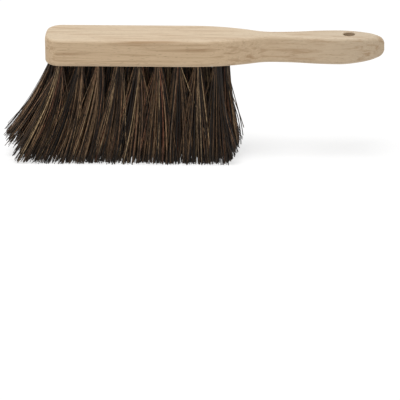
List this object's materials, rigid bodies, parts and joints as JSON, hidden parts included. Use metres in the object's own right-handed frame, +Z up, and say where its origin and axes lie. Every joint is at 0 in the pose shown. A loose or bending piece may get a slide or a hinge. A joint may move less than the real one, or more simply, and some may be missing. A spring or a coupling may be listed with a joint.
{
  "type": "palm brush",
  "caption": "Wooden hand brush with a fanned field of stiff palm-fibre tufts and a hanging hole, for sweeping and scrubbing rough floors.",
  "frame": {"origin": "on the floor under the middle of the whole brush, which stands on its trimmed bristle tips", "axes": "+X along the brush from its front end to the handle's end, +Y across it, +Z up"},
  "size_m": [0.318, 0.0512, 0.1092],
  "materials": {
    "wood": "matte",
    "palm_fibre": "matte",
    "anchor_wire": "satin"
  },
  "bodies": {
    "root": {"stock": "wood", "anchors": "anchor_wire", "tuft_outer_far_01": "palm_fibre", "tuft_outer_far_02": "palm_fibre", "tuft_outer_far_03": "palm_fibre", "tuft_outer_far_04": "palm_fibre", "tuft_outer_far_05": "palm_fibre", "tuft_outer_far_06": "palm_fibre", "tuft_outer_far_07": "palm_fibre", "tuft_outer_far_08": "palm_fibre", "tuft_outer_far_09": "palm_fibre", "tuft_outer_near_01": "palm_fibre", "tuft_outer_near_02": "palm_fibre", "tuft_outer_near_03": "palm_fibre", "tuft_outer_near_04": "palm_fibre", "tuft_outer_near_05": "palm_fibre", "tuft_outer_near_06": "palm_fibre", "tuft_outer_near_07": "palm_fibre", "tuft_outer_near_08": "palm_fibre", "tuft_outer_near_09": "palm_fibre", "tuft_inner_far_01": "palm_fibre", "tuft_inner_far_02": "palm_fibre", "tuft_inner_far_03": "palm_fibre", "tuft_inner_far_04": "palm_fibre", "tuft_inner_far_05": "palm_fibre", "tuft_inner_far_06": "palm_fibre", "tuft_inner_far_07": "palm_fibre", "tuft_inner_far_08": "palm_fibre", "tuft_inner_far_09": "palm_fibre", "tuft_inner_far_10": "palm_fibre", "tuft_inner_near_01": "palm_fibre", "tuft_inner_near_02": "palm_fibre", "tuft_inner_near_03": "palm_fibre", "tuft_inner_near_04": "palm_fibre", "tuft_inner_near_05": "palm_fibre", "tuft_inner_near_06": "palm_fibre", "tuft_inner_near_07": "palm_fibre", "tuft_inner_near_08": "palm_fibre", "tuft_inner_near_09": "palm_fibre", "tuft_inner_near_10": "palm_fibre"}
  },
  "joints": []
}
